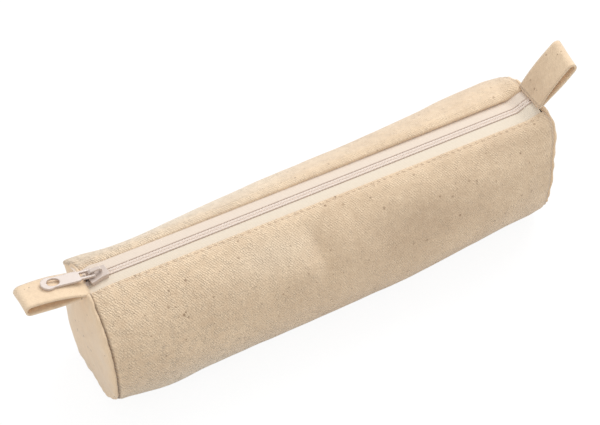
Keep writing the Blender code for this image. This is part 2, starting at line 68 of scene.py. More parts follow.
# Canvas tube
BASE_WIDTH = 0.024
AXIS_Z = math.sqrt(RADIUS**2 - (BASE_WIDTH / 2) ** 2)
CANVAS = 0.0008
HEM_WIDTH = 0.0080
FRONT_HEM_BACK = 0.0010
SEAM_ALLOWANCE = 0.0075
TURN_IN = 0.0016
END_DRAW_IN = 0.0008
END_DRAW_LENGTH = 0.010
END_ROUNDING = 0.0024
END_ROUNDING_LENGTH = 0.0021
BASE_SOFTNESS = 0.0014
GRID_STEP = 0.0012
ROWS_NEAR_END = (0.0005, 0.0011, 0.0018, 0.0026, 0.0035)
ROW_FOLD_TURNS = (0, 36, 72, 108, 144, 180)
HEM_FOLD_TURNS = (0, 30, 60, 90, 120, 150, 180)
SEAT = 0.0003

# The back corners of the tube stand up sharper: angle round it in degrees, share and width along the arc
BACK_CORNER = 400
CORNER_SHARPNESS = 0.85
CORNER_WIDTH = 0.014

# Unevenness of the tube: height and grain of the crumples, height and length of the puckers at the ends
BROAD_CRUMPLE, BROAD_GRAIN = 0.00032, 0.021
FINE_CRUMPLE, FINE_GRAIN = 0.00014, 0.0085
CRUMPLE_RADIUS = 0.030
PUCKER_HEIGHT, PUCKER_LENGTH = 0.00020, 0.005
PUCKERS = 27
KEPT_AT_MOUTH = 0.12
MOUTH_CALM = 0.011

# Relief of the hems: height and half width of each form
HEM_RIDGE, HEM_RIDGE_WIDTH = 0.00030, 0.0008
FURROW_DEPTH, FURROW_WIDTH = 0.00022, 0.0005
HEM_SWELLING, HEM_SWELLING_WIDTH, HEM_SWELLING_AT = 0.00022, 0.0022, 0.0042
FRONT_HEM_PRESSED, BACK_HEM_PRESSED, HEM_PRESSED_WIDTH = 0.0006, 0.0010, 0.0014

# End panels
PANEL_PLAY = 0.0001
PANEL_EDGE = RADIUS - END_DRAW_IN - PANEL_PLAY
PANEL_RIM = RADIUS - END_DRAW_IN - 2 * CANVAS - SEAT
PANEL_BULGE = 0.0031
PANEL_FULLNESS = 2.7
PANEL_PINCH = 0.0028
PANEL_PINCH_LENGTH = 0.0006
PANEL_SPOKES = 180
PANEL_STEP = 0.0015
PANEL_EDGE_TURN, PANEL_EDGE_RINGS = 46, 16
RIM_START = -0.0006
RIM_FLARE = 0.0012
# The rim is cut back under the zip and isn't pinched in the mouth: sine where each starts, and its fade
UNDER_ZIP, UNDER_ZIP_FADE, UNDER_ZIP_CUT = 0.80, 0.06, 0.92
IN_MOUTH, IN_MOUTH_FADE = 0.93, 0.02
PANEL_RIPPLE, PANEL_RIPPLE_GRAIN = 0.0007, 0.017
PANEL_CRUMPLE, PANEL_CRUMPLE_GRAIN = 0.0002, 0.007
PANEL_PUCKER, PUCKERED_FROM, PUCKERED_FADE = 0.00016, 0.72, 0.2
RIPPLE_RISE = 0.0015
# The left panel lies flatter towards its back corner
FLATTER_SHARE, FLATTER_WIDTH, FLATTER_FROM, FLATTER_FADE = 0.9, 0.018, 0.3, 0.5
SEAM_FOLLOWED_FROM = 0.35
PANEL_FOOT_RISE = 0.010
# The panel's top stays below the loop's root and drops beside it
ROOT_DROP, ROOT_FADE, ROOT_SOFTNESS = 0.008, 0.004, 0.0004
WELD_DISTANCE = 0.00002

# Zip
TAPE_THICKNESS = 0.0005
TAPE_UNDERLAP = 0.0062
TAPE_EDGE_GAP = 0.0005
TAPE_TUCK = 0.0012
COIL_HALF_WIDTH = 0.00146
COIL_HEIGHT = 0.00095
COIL_RISE = 0.00030
COIL_MIDDLE = TAPE_TOP + COIL_RISE
COIL_SEWN_AT = 0.00145
COIL_THREAD = 0.00058
COIL_WIRE = 0.00068
TOOTH_PITCH = 0.0014
TOOTH_REACH = 0.00042
TOOTH_CLEARANCE = 0.0002
DIVIDER_HALF_WIDTH = 0.0006
ZIP_SPREAD = TOOTH_REACH + TOOTH_CLEARANCE + DIVIDER_HALF_WIDTH
SLIDER_THROAT = 0.0062
COIL_CORE = 0.00116
COIL_CORE_FLATNESS = 0.70
COIL_CORE_PLACE = 0.00080
CORE_STEP = 0.002
CORE_CAP = 0.00006
COIL_SIDES, CORE_SIDES, THREAD_SIDES = 8, 12, 6
FREE_COLUMNS, MARGIN_COLUMNS = 9, 7
TAPE_CREASE = math.radians(50)

# Loops
TAB_WIDTH = 0.0136
TAB_HINGE = Vector(JOINTS["right_tab_bend"]["pos_m"][:2]).length
TAB_BOTTOM = JOINTS["right_tab_bend"]["pos_m"][2]
TAB_WOBBLE, TAB_WOBBLE_GRAIN = 0.00022, 0.010
TAB_FREE_LENGTH = 0.006
TAB_SAG_LENGTH = 0.007
TAB_NARROWING, TAB_WAVE, TAB_WAVE_LENGTH = 0.012, 0.010, 0.0047
TAB_COLUMNS, TIP_STEPS, LEAF_STEPS = 17, 15, 16
LOWER_LEAF_BOW = 0.6
# What make_tab takes for each loop, as this case wears it
LEFT_LOOP = dict(
    side=-1, width=TAB_WIDTH, reach_out=0.0236, root_length=0.0020, rise=math.radians(8.2), opening=math.radians(9),
    arch=0.0009, sag=0.0008, twist=0.0009, skew=0, taper=0, shift=(-0.0003, -0.0012),
)
RIGHT_LOOP = dict(
    side=1, width=0.0151, reach_out=0.0230, root_length=0.0008, rise=math.radians(46.5), opening=math.radians(10),
    arch=0.0008, sag=0, twist=0, skew=0.05, taper=0.05, shift=(-0.0006, 0.0007),
)

# Thread
STITCH_PITCH = 0.0029
STITCH_LENGTH = 0.0020
STITCH_RADIUS = 0.00022
HEM_STITCH = 0.0011
STITCH_LIFT = 0.0002
STITCH_SUNK = 0.00003
STITCH_GRAIN = 0.0021
STITCH_BOW = (-0.5, -0.2, 0.35, 0.9, 1.0, 0.9, 0.35, -0.2, -0.5)
STITCHES_START, STITCHES_STOP = 0.003, 0.002
COIL_STITCH_LIFT = 0.00006
COIL_STITCH_OVERLAP = 1.02

# Weave
TWILL_PERIOD = 0.00088
TWILL_LEAN = math.radians(60)

# Picture
CAMERA_AZIMUTH = math.radians(-30.6)
CAMERA_ELEVATION = math.radians(47.5)
CAMERA_DISTANCE = 0.700
FOCAL_PIXELS = 1708
IMAGE_WIDTH, IMAGE_HEIGHT = 600, 425
AXIS_PIXEL = (316.5, 235.3)
SENSOR_WIDTH = 36
CLIP_START, CLIP_END = 0.01, 20

ZIP_END_IN = 0.0004
ZIP_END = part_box("tape_back")[1].x - ZIP_END_IN
SLIDER_IN = 0.0021
SLIDER_REST = -ZIP_END + SLIDER_IN

# The right end of the zip rises to the seam beyond the slider's travel
END_LIFT = 0.0029
END_LIFT_LENGTH = 0.0075
END_LIFT_START = ZIP_END - END_LIFT_LENGTH
END_LIFT_FADE = 0.016
LIFT_FULL_AT = 0.5

# The back of the mouth dips at its left end
END_DIP = 0.0012
END_DIP_LENGTH = 0.010


def smooth_step(value):
    value = np.clip(value, 0, 1)
    return value * value * (3 - 2 * value)


def smooth_max(a, b, softness):
    return (a + b + np.sqrt((a - b) ** 2 + softness**2)) / 2


def bell(offset, width):
    """A smooth hump of height 1 with the given half width."""
    return np.exp(-((offset / width) ** 2))


def turn_from(angle, degrees):
    """Signed turn of each angle from a place round the tube."""
    return np.mod(angle - math.radians(degrees) + math.pi, 2 * math.pi) - math.pi


def zip_point(u, v, z):
    """A point given along and across the zip's own line."""
    return ALONG * u + ACROSS * v + Vector((0, 0, z + float(end_lift(u, v))))


def tube_radius(x):
    """Outer radius of the canvas tube, which the end seams draw in a little."""
    return RADIUS - END_DRAW_IN * smooth_step((np.abs(x) - HALF_LENGTH + END_DRAW_LENGTH) / END_DRAW_LENGTH)


def mouth_angles(x):
    """Angles of the front and the back edge of the mouth at x."""
    radius = tube_radius(x)
    middle = x * ALONG.y / ALONG.x
    front = np.arccos((middle - MOUTH_HALF - FRONT_HEM_BACK) / radius)
    back = np.arccos((middle + MOUTH_HALF) / radius) + 2 * math.pi
    return front, back


# Swells and dents of the soft tube: place along, angle in degrees, length, width, outward and along.
# The angle is 90 on top, 180 in front, 270 underneath and 360 behind.
SWELLS = (
    (-0.072, 398, 0.034, 0.016, -0.0018, 0),
    (0.030, 398, 0.030, 0.016, -0.0002, 0),
    (-0.104, 397, 0.011, 0.014, 0.0020, 0),
    (-0.104, 378, 0.014, 0.015, 0, 0.0034),
    (-0.104, 400, 0.010, 0.006, 0, -0.0021),
    (-0.104, 424, 0.012, 0.014, 0, 0.0027),
    (-0.104, 346, 0.018, 0.030, 0, 0.0016),
    (-0.104, 178, 0.018, 0.024, 0, -0.0019),
    (-0.104, 236, 0.020, 0.016, -0.0024, 0),
    (-0.082, 226, 0.012, 0.014, 0.0010, 0),
    (-0.045, 224, 0.030, 0.016, 0.0004, 0),
    (0.018, 224, 0.055, 0.016, 0.0014, 0),
    (0.078, 224, 0.028, 0.018, -0.0013, 0),
    (0.088, 398, 0.034, 0.016, 0.0017, 0.0010),
    (0.104, 390, 0.014, 0.018, 0.0002, 0.0026),
    (0.104, 184, 0.022, 0.019, -0.0026, -0.0034),
    (0.104, 150, 0.014, 0.010, 0, -0.0009),
    (0.104, 126, 0.014, 0.009, 0, 0.0020),
    (0.104, 118, 0.014, 0.012, 0, 0.0006),
    (-0.012, 136, 0.0055, 0.013, -0.0019, 0),
    (-0.0105, 143, 0.0022, 0.009, -0.0009, 0),
    (0.000, 140, 0.0060, 0.012, 0.0004, 0),
    (-0.022, 152, 0.016, 0.006, 0.0012, 0),
    (0.026, 151, 0.014, 0.009, -0.0021, 0),
    (0.034, 174, 0.018, 0.009, -0.0005, 0),
    (0.026, 128, 0.014, 0.006, 0.0004, 0),
    (0.070, 160, 0.0120, 0.0050, -0.0005, 0),
    (0.088, 143, 0.016, 0.010, -0.0013, 0),
    (0.094, 172, 0.0035, 0.012, -0.0007, 0),
    (0.097, 117, 0.0022, 0.009, 0.0005, 0),
    (-0.094, 196, 0.0060, 0.0090, -0.0007, 0),
    (-0.080, 214, 0.0100, 0.0050, 0.0005, 0),
)


def crumple(x, arc, size, seed):
    """Cloth-like unevenness from -1 to 1 at each point."""
    flat_x, flat_arc = np.broadcast_arrays(x, arc)
    values = [noise.noise((px / size, pa / size, seed)) for px, pa in zip(flat_x.ravel(), flat_arc.ravel())]
    return np.array(values).reshape(flat_x.shape)


def off_mouth(x, angle):
    """Share of a swell that is left at each point: little beside the straight edges of the mouth."""
    front, back = mouth_angles(x)
    turned = np.mod(angle - math.pi / 2, 2 * math.pi) + math.pi / 2
    from_edge = np.minimum(turned - front, back - turned) * RADIUS
    return KEPT_AT_MOUTH + (1 - KEPT_AT_MOUTH) * smooth_step(from_edge / MOUTH_CALM)


def swell(x, angle):
    """How far the soft canvas stands off the plain tube, and how far it has crept along it."""
    outward = np.zeros(np.broadcast(x, angle).shape)
    along = outward.copy()
    for place, degrees, length, width, out, shift in SWELLS:
        share = np.exp(-(((x - place) / length) ** 2) - (turn_from(angle, degrees) * RADIUS / width) ** 2)
        outward = outward + out * share
        along = along + shift * share
    # The noise is read from places that turn with the angle, so that it closes round the tube
    around_y, around_z = np.cos(angle) * CRUMPLE_RADIUS, np.sin(angle) * CRUMPLE_RADIUS
    outward = outward + BROAD_CRUMPLE * crumple(x + around_y * 0.7, around_z + around_y * 0.4, BROAD_GRAIN, 3.1)
    outward = outward + FINE_CRUMPLE * crumple(x + around_z * 0.6, around_y - around_z, FINE_GRAIN, 7.7)
    from_end = np.maximum(HALF_LENGTH - np.abs(x), 0)
    wave = np.sin(angle * PUCKERS + 2.5 * np.sin(3 * angle) + 1.5 * np.sin(7 * angle))
    outward = outward + PUCKER_HEIGHT * (np.exp(-from_end / PUCKER_LENGTH) * wave)
    return outward * off_mouth(x, angle), along


def end_lift(x, y):
    """Rise of the right end of the zip and dip of the left end's back corner, with the canvas beside them."""
    share = smooth_step((x - END_LIFT_START) / (ZIP_END - END_LIFT_START))
    dip = smooth_step((-x - ZIP_END + END_DIP_LENGTH) / END_DIP_LENGTH) * smooth_step(y / MOUTH_HALF)
    return (END_LIFT * share - END_DIP * dip) * (1 - smooth_step((np.abs(y) - MOUTH_HALF) / END_LIFT_FADE))


def hem_relief(x, angle):
    """The folded hems pressed towards the tapes, with the front one's ridge and the furrow that its stitches pull."""
    front, back = mouth_angles(x)
    away = (angle - front) * RADIUS
    ridge = HEM_RIDGE * bell(away, HEM_RIDGE_WIDTH)
    furrow = FURROW_DEPTH * bell(away - HEM_STITCH, FURROW_WIDTH)
    swelling = HEM_SWELLING * bell(away - HEM_SWELLING_AT, HEM_SWELLING_WIDTH)
    pressed = FRONT_HEM_PRESSED * bell(away, HEM_PRESSED_WIDTH)
    pressed = pressed + BACK_HEM_PRESSED * bell((back - angle) * RADIUS, HEM_PRESSED_WIDTH)
    return ridge - furrow + swelling - pressed


def end_rounding(x, angle):
    """How far the last of the tube rolls in to the end seam, less behind the zip, where the corner stands up."""
    into = np.clip((np.abs(x) - HALF_LENGTH + END_ROUNDING_LENGTH) / END_ROUNDING_LENGTH, 0, 1)
    rolled = 1 - CORNER_SHARPNESS * bell(turn_from(angle, BACK_CORNER) * RADIUS, CORNER_WIDTH)
    return END_ROUNDING * rolled * (1 - np.sqrt(1 - into**2))


def skin(x, angle, depth):
    """Points of the tube at a depth below its outer surface, flat where the case rests."""
    outward, along = swell(x, angle)
    reach = tube_radius(x) - end_rounding(x, angle) + outward + hem_relief(x, angle) - depth
    y = reach * np.cos(angle)
    z = smooth_max(reach * np.sin(angle), depth - AXIS_Z, BASE_SOFTNESS)
    z = z + end_lift(x, y) * smooth_step(np.sin(angle) / LIFT_FULL_AT)
    return np.stack([x + along, y, AXIS_Z + z], -1)


def new_object(name, data):
    """An object with its data, in the scene."""
    obj = bpy.data.objects.new(name, data)
    bpy.context.scene.collection.objects.link(obj)
    return obj


def grid_object(name, points, cloth, finish, wrap=False, flip=False):
    """A sheet of quads through rows of points, with each point's place on the flat cloth."""
    rows, columns = points.shape[:2]
    index = np.arange(rows * columns).reshape(rows, columns)
    if wrap:
        index = np.concatenate([index, index[:, :1]], 1)
    a, b, c, d = index[:-1, :-1], index[:-1, 1:], index[1:, 1:], index[1:, :-1]
    quads = np.stack([a, b, c, d] if not flip else [a, d, c, b], -1).reshape(-1, 4)
    mesh = bpy.data.meshes.new(name)
    mesh.from_pydata(points.reshape(-1, 3).tolist(), [], quads.tolist())
    place = mesh.attributes.new("cloth", "FLOAT_VECTOR", "POINT")
    flat = np.zeros((rows * columns, 3), np.float32)
    flat[:, :2] = cloth.reshape(-1, 2)
    place.data.foreach_set("vector", flat.ravel())
    mesh.shade_smooth()
    mesh.materials.append(finish)
    return new_object(name, mesh)


def thicken(obj, thickness, offset):
    """Gives a sheet its thickness: centred on it at offset 0 and below it at offset -1."""
    modifier = obj.modifiers.new("thickness", "SOLIDIFY")
    modifier.thickness = thickness
    modifier.offset = offset
    return obj


def running_length(points):
    """Distance along a line of points, from its first."""
    steps = np.linalg.norm(np.diff(points, axis=0), axis=1)
    return np.concatenate([[0], np.cumsum(steps)])


def spaced(start, stop, step):
    """Places from start to stop, about a step apart."""
    return np.linspace(start, stop, max(2, int(round(abs(stop - start) / step)) + 1))


def tube_rows():
    """Places along the tube and how far the cloth has turned in there, from 0 outside to 1 inside."""
    turn = CANVAS / 2
    angles = np.radians(ROW_FOLD_TURNS)
    place = np.concatenate([[HALF_LENGTH - TURN_IN], HALF_LENGTH - turn + turn * np.sin(angles)])
    inside = np.concatenate([[1], (1 + np.cos(angles)) / 2])
    near = HALF_LENGTH - turn - np.array(ROWS_NEAR_END)
    run = spaced(-near[-1], near[-1], GRID_STEP)[1:-1]
    places = np.concatenate([-place, -near, run, near[::-1], place[::-1]])
    insides = np.concatenate([inside, 0 * near, 0 * run, 0 * near, inside[::-1]])
    return places, insides


def tube_columns():
    """Distance of each column of a hem from the edge of the mouth, and how far it has turned in."""
    turn = CANVAS / 2
    hem = spaced(HEM_WIDTH, turn, GRID_STEP)[:-1]
    angles = np.radians(HEM_FOLD_TURNS)
    fold = turn - turn * np.sin(angles)
    edge = np.concatenate([hem, fold])
    inside = np.concatenate([0 * hem + 1, (1 + np.cos(angles)) / 2])
    return edge, inside


def make_tube(finish):
    """The canvas tube with both hems and both turned-in ends, and the flat size of its cloth."""
    places, row_inside = tube_rows()
    edge, edge_inside = tube_columns()
    turn = CANVAS / 2
    front, back = mouth_angles(places)
    radius = tube_radius(places)
    sweep_steps = int(RADIUS * (back - front).mean() / GRID_STEP)
    share = np.arange(1, sweep_steps) / sweep_steps
    first = front + turn / radius
    sweep = (back - front) - 2 * turn / radius
    angles = np.concatenate(
        [
            front[:, None] + edge[None, :] / radius[:, None],
            first[:, None] + sweep[:, None] * share[None, :],
            back[:, None] - edge[None, ::-1] / radius[:, None],
        ],
        1,
    )
    column_inside = np.concatenate([edge_inside, 0 * share, edge_inside[::-1]])
    inside = np.maximum(row_inside[:, None], column_inside[None, :])
    points = skin(places[:, None] + 0 * angles, angles, turn + CANVAS * inside)
    across = running_length(points[len(places) // 2])
    across -= across[len(edge) - 1 - len(HEM_FOLD_TURNS) // 2]
    along = running_length(np.stack([places, CANVAS * row_inside], 1)) - HALF_LENGTH - TURN_IN
    cloth = np.stack(np.broadcast_arrays(along[:, None], across[None, :]), -1)
    tube = grid_object("canvas_tube", points, cloth, finish, flip=True)
    thicken(tube, CANVAS, 0)
    return tube, (across[-1] - across[0], along[-1] - along[0] + 2 * (SEAM_ALLOWANCE - TURN_IN))


def seam_pinch(radius, out):
    """How far the end seam draws a panel in, at its very edge alone."""
    return PANEL_PINCH * (radius / PANEL_EDGE) ** 4 * np.exp(-out / PANEL_PINCH_LENGTH)


def panel_profile():
    """Distance out of the seam and radius down one end panel, middle to turned-in edge, and its rows outside."""
    turns = np.radians(np.linspace(PANEL_EDGE_TURN, 0, PANEL_EDGE_RINGS))
    outer = PANEL_EDGE * np.cos(turns) ** (2 / PANEL_FULLNESS)
    radius = np.concatenate([spaced(0, outer[0], PANEL_STEP)[:-1], outer])
    out = PANEL_BULGE * (1 - np.minimum(radius / PANEL_EDGE, 1) ** PANEL_FULLNESS) ** (1 / PANEL_FULLNESS)
    radius = radius - seam_pinch(radius, out)
    dome = np.stack([out, radius], 1)
    run = spaced(RIM_START, -SEAM_ALLOWANCE, GRID_STEP)
    rim = np.stack([run, PANEL_RIM - END_ROUNDING * np.exp(run / RIM_FLARE)], 1)
    return np.concatenate([dome, rim]), len(dome)


def make_end_panel(name, side, finish):
    """A round end like a shallow cushion, whose rim turns in between the tube and its seam."""
    profile, _ = panel_profile()
    angles = np.linspace(0, 2 * math.pi, PANEL_SPOKES, endpoint=False)
    out, radius = profile[:, :1] + 0 * angles, profile[:, 1:] + 0 * angles
    upward = np.sin(angles)
    under_zip = smooth_step((upward - UNDER_ZIP) / UNDER_ZIP_FADE)
    in_mouth = smooth_step((upward - IN_MOUTH) / IN_MOUTH_FADE)
    radius = np.where(out < 0, radius, radius + seam_pinch(radius, out) * in_mouth)
    out = np.where(out < 0, out * (1 - UNDER_ZIP_CUT * under_zip), out)
    share = radius / PANEL_EDGE
    y, z = radius * np.cos(angles), radius * upward
    ripple = crumple(y, z, PANEL_RIPPLE_GRAIN, 11.0 * side) * PANEL_RIPPLE
    ripple = ripple + crumple(y, z, PANEL_CRUMPLE_GRAIN, 5.0 * side) * PANEL_CRUMPLE
    wave = PANEL_PUCKER * np.sin(angles * PUCKERS + 2.5 * np.sin(3 * angles))
    pucker = wave * smooth_step((share - PUCKERED_FROM) / PUCKERED_FADE)
    out = out + (ripple + pucker) * smooth_step(out / RIPPLE_RISE)
    if side < 0:
        flatter = bell(turn_from(angles, BACK_CORNER) * RADIUS, FLATTER_WIDTH)
        flatter = flatter * smooth_step((share - FLATTER_FROM) / FLATTER_FADE)
        out = np.where(out > 0, out * (1 - FLATTER_SHARE * flatter), out)
    outward, along = swell(np.full_like(angles, side * HALF_LENGTH), angles)
    near_seam = smooth_step((share - SEAM_FOLLOWED_FROM) / (1 - SEAM_FOLLOWED_FROM))
    reach = radius + outward * near_seam
    y = reach * np.cos(angles)
    floor_at = np.minimum(PANEL_EDGE - radius, PANEL_FOOT_RISE) - AXIS_Z + CANVAS / 2
    z = smooth_max(reach * upward, floor_at, BASE_SOFTNESS)
    z = z + end_lift(side * ZIP_END, y) * smooth_step(upward / LIFT_FULL_AT) * near_seam
    x = side * (HALF_LENGTH - CANVAS / 2 + out) + along * near_seam
    clear = TAB_BOTTOM - AXIS_Z - CANVAS + end_lift(side * ZIP_END, y)
    beside = smooth_step((np.abs(x * ACROSS.x + y * ACROSS.y) - TAB_WIDTH / 2) / ROOT_FADE)
    z = -smooth_max(-z, -clear - ROOT_DROP * beside, ROOT_SOFTNESS)
    length = running_length(profile)[:, None]
    cloth = np.stack([length * np.cos(angles), length * np.sin(angles)], -1)
    panel = grid_object(name, np.stack([x, y, AXIS_Z + z], -1), cloth, finish, wrap=True, flip=side > 0)
    panel.modifiers.new("closed_middle", "WELD").merge_threshold = WELD_DISTANCE
    return thicken(panel, CANVAS, 0), 2 * float(length[-1, 0])


def zip_spread(u):
    """How far each half of the zip stands off the zip's line, where the slider's divider parts them."""
    return ZIP_SPREAD * smooth_step(1 - (u - SLIDER_REST) / SLIDER_THROAT)


def tape_height(points_x, points_y):
    """Top of the tape: level in the mouth and just under the folded hem beside it."""
    under = tube_radius(points_x) - 2 * CANVAS - SEAT
    return np.minimum(TAPE_TOP, AXIS_Z + np.sqrt(under**2 - points_y**2)) + end_lift(points_x, points_y)


def tape_strip(name, side, start_u, stop_u, across, finish):
    """A strip of woven tape between two places along the zip."""
    along = spaced(start_u, stop_u, GRID_STEP)
    inner = TAPE_EDGE_GAP / 2 + zip_spread(along)
    share = (across - across[0]) / (across[-1] - across[0])
    low = np.where(across[0] < MOUTH_HALF / 2, inner, across[0] + 0 * along)
    v = side * (low[:, None] + (across[-1] - low[:, None]) * share[None, :])
    u = along[:, None] + 0 * v
    x = u * ALONG.x + v * ACROSS.x
    y = u * ALONG.y + v * ACROSS.y
    points = np.stack([x, y, tape_height(x, y)], -1)
    strip = grid_object(name, points, np.stack([u, v], -1), finish, flip=side < 0)
    thicken(strip, TAPE_THICKNESS, -1)
    strip.modifiers.new("crisp_edges", "EDGE_SPLIT").split_angle = TAPE_CREASE
    return strip


def tube_mesh(path, radius, sides, squash=1.0):
    """Vertices and quads of a closed tube along a path."""
    path = np.asarray(path, float)
    tangent = np.gradient(path, axis=0)
    tangent /= np.linalg.norm(tangent, axis=1)[:, None]
    nearly_up = np.array([0.01, 0.02, 1.0])
    side = np.cross(tangent, nearly_up)
    side /= np.linalg.norm(side, axis=1)[:, None]
    up = np.cross(side, tangent)
    turns = np.linspace(0, 2 * math.pi, sides, endpoint=False)
    ring = side[:, None, :] * np.cos(turns)[None, :, None] + up[:, None, :] * np.sin(turns)[None, :, None] * squash
    vertices = (path[:, None, :] + ring * radius).reshape(-1, 3)
    count = len(path)
    faces = []
    for i in range(count - 1):
        for j in range(sides):
            k = (j + 1) % sides
            faces.append((i * sides + j, i * sides + k, (i + 1) * sides + k, (i + 1) * sides + j))
    faces.append(tuple(range(sides - 1, -1, -1)))
    faces.append(tuple(range((count - 1) * sides, count * sides)))
    return vertices, faces


def tubes_object(name, paths, radius, sides, finish, squash=1.0):
    """One object made of a tube along each path."""
    vertices, faces, first = [], [], 0
    for path in paths:
        tube_vertices, tube_faces = tube_mesh(path, radius, sides, squash)
        vertices.extend(tube_vertices.tolist())
        faces.extend([tuple(first + i for i in face) for face in tube_faces])
        first += len(tube_vertices)
    mesh = bpy.data.meshes.new(name)
    mesh.from_pydata(vertices, [], faces)
    mesh.polygons.foreach_set("use_smooth", [len(face) == 4 for face in faces])
    mesh.materials.append(finish)
    return new_object(name, mesh)


def coil_path(side, first, last):
    """The nylon wire of one half of the coil, looped once for each tooth from the first to the last."""
    rise = (COIL_HEIGHT - COIL_WIRE) / 2
    back = COIL_HALF_WIDTH - COIL_WIRE / 2
    head = -TOOTH_REACH + COIL_WIRE / 2
    # Along the zip as a share of the pitch, across from the zip's line, and up
    loop = (
        (-0.34, back - 0.0001, -rise),
        (-0.22, back * 0.7, -rise),
        (-0.04, head + 0.0001, -rise),
        (0.00, head, -rise * 0.6),
        (0.00, head, rise * 0.6),
        (0.04, head + 0.0001, rise),
        (0.22, back * 0.7, rise),
        (0.34, back - 0.0001, rise),
        (0.46, back + 0.0001, rise * 0.5),
        (0.54, back + 0.0001, -rise * 0.5),
    )
    points = []
    for tooth in range(first, last + 1):
        centre = (tooth + (1.0 if side > 0 else 0.5)) * TOOTH_PITCH
        for share, v, height in loop:
            u = centre + share * TOOTH_PITCH
            points.append(zip_point(u, side * (v + float(zip_spread(u))), COIL_MIDDLE + height))
    return points


def core_path(side, start_u, stop_u, v, z):
    """The line of the cord inside one half of the coil, with a point close to each end that keeps it square."""
    places = spaced(start_u, stop_u, CORE_STEP)
    places = np.concatenate([places[:1], [start_u + CORE_CAP], places[1:-1], [stop_u - CORE_CAP], places[-1:]])
    return [zip_point(u, side * (v + float(zip_spread(u))), z) for u in places]


def stitches(points, length, lift):
    """Short threads, one from each point towards the next, sunk at both ends."""
    made = []
    for start, end in zip(points, points[1:]):
        start, end = Vector(start), Vector(end)
        uneven = noise.noise((start.x / STITCH_GRAIN, start.y / STITCH_GRAIN, 0.5))
        step = (end - start).normalized() * length * (1 + 0.5 * uneven)
        last = len(STITCH_BOW) - 1
        made.append([start + step * (i / last) + lift * height for i, height in enumerate(STITCH_BOW)])
    return made


def coil_stitches(side, first, last):
    """The thread that sews one half of the coil to its tape, one stitch for each tooth."""
    u = np.arange(first, last + 2) * TOOTH_PITCH
    points = [zip_point(a, side * (COIL_SEWN_AT + float(zip_spread(a))), COIL_MIDDLE + COIL_HEIGHT / 4) for a in u]
    return stitches(points, TOOTH_PITCH * COIL_STITCH_OVERLAP, Vector((0, 0, COIL_STITCH_LIFT)))


def hem_stitches():
    """The row of stitches along the front edge of the mouth."""
    x = np.arange(-HALF_LENGTH + STITCHES_START, HALF_LENGTH - STITCHES_STOP, STITCH_PITCH)
    front, _ = mouth_angles(x)
    angle = front + HEM_STITCH / RADIUS
    points = skin(x, angle, -STITCH_SUNK + 0 * x)
    return stitches(points, STITCH_LENGTH, Vector((0, -0.2, 0.98)) * STITCH_LIFT)


def tab_line(reach_out, root_length, rise, opening, arch):
    """Outwards and up places down the middle of the strap: root, upper leaf, tip, lower leaf, root."""
    half = CANVAS / 2
    spread = opening / 2
    reach = (reach_out - half) / (1 + math.sin(spread))
    radius = half * math.cos(spread) + reach * math.sin(spread)
    tip_angles = np.linspace(math.pi / 2 + spread, -math.pi / 2 - spread, TIP_STEPS)
    tip = np.stack([reach + radius * np.cos(tip_angles), radius * np.sin(tip_angles)], 1)
    steps = np.linspace(0.04, 0.96, LEAF_STEPS)
    bow = arch * np.sin(steps * math.pi)
    top = np.stack([steps * tip[0, 0], half + steps * (tip[0, 1] - half) + bow], 1)
    lower = -half - steps * (abs(tip[-1, 1]) - half) - LOWER_LEAF_BOW * bow
    bottom = np.stack([steps * tip[-1, 0], lower], 1)[::-1]
    turned = np.concatenate([top, tip, bottom])
    cos, sin = math.cos(rise), math.sin(rise)
    turned = np.stack([turned[:, 0] * cos - turned[:, 1] * sin, turned[:, 0] * sin + turned[:, 1] * cos], 1)
    root = np.array([[-root_length, half], [-root_length * 0.5, half]])
    foot = np.array([[-root_length * 0.5, -half], [-root_length, -half]])
    return np.concatenate([root, turned, foot]) + np.array([0, CANVAS])


def make_tab(name, finish, side, width, reach_out, root_length, rise, opening, arch, sag, twist, skew, taper, shift):
    """A folded strap of a width that reaches out and rises from its root, and the length of its cloth.

    Its leaves part by the opening and bow by the arch. Its front root corner sags, its back edge dips by the twist
    towards the tip and runs longer by the skew, it narrows by the taper, and all of it is shifted along and across.
    """
    line = tab_line(reach_out, root_length, rise, opening, arch)
    across = np.linspace(-width / 2, width / 2, TAB_COLUMNS)
    length = running_length(line)
    longer = np.where(line[:, :1] > 0, 1 + skew * across[None, :] / (width / 2), 1)
    u = side * (TAB_HINGE + line[:, :1] * longer)
    v = across[None, :] + 0 * u
    out = np.maximum(line[:, 0], 0)[:, None]
    free = smooth_step((np.minimum(length, length[-1] - length) - root_length) / TAB_FREE_LENGTH)[:, None]
    wobble = crumple(length[:, None] + 0 * across, v, TAB_WOBBLE_GRAIN, 4.0 + side) * TAB_WOBBLE * free
    front_share = smooth_step((-v / (width / 2) + 0.1) / 1.1)
    back_share = smooth_step((v / (width / 2) + 1) / 2)
    z = TAB_BOTTOM + line[:, 1:] * longer + wobble
    z = z - sag * front_share * np.exp(-out / TAB_SAG_LENGTH) - twist * back_share * (out / reach_out) ** 1.2
    z = z + end_lift(u, v)
    uneven = TAB_WAVE * free * np.sin(length[:, None] / TAB_WAVE_LENGTH + side)
    v = v * (1 - taper * out / reach_out - TAB_NARROWING * free + uneven) + shift[1]
    u = u + shift[0]
    x = u * ALONG.x + v * ACROSS.x
    y = u * ALONG.y + v * ACROSS.y
    cloth = np.stack([length[:, None] + 0 * across, v], -1)
    tab = grid_object(name, np.stack([x, y, z], -1), cloth, finish, flip=side < 0)
    return thicken(tab, CANVAS, 0), length[-1] + 2 * SEAM_ALLOWANCE


def node(tree, kind, inputs=None, **settings):
    """A shader node with its settings and its inputs, which are values or other nodes' outputs."""
    made = tree.nodes.new(kind)
    for key, value in settings.items():
        setattr(made, key, value)
    for key, value in (inputs or {}).items():
        socket = made.inputs[key]
        if isinstance(value, bpy.types.NodeSocket):
            tree.links.new(value, socket)
        else:
            socket.default_value = value
    return made


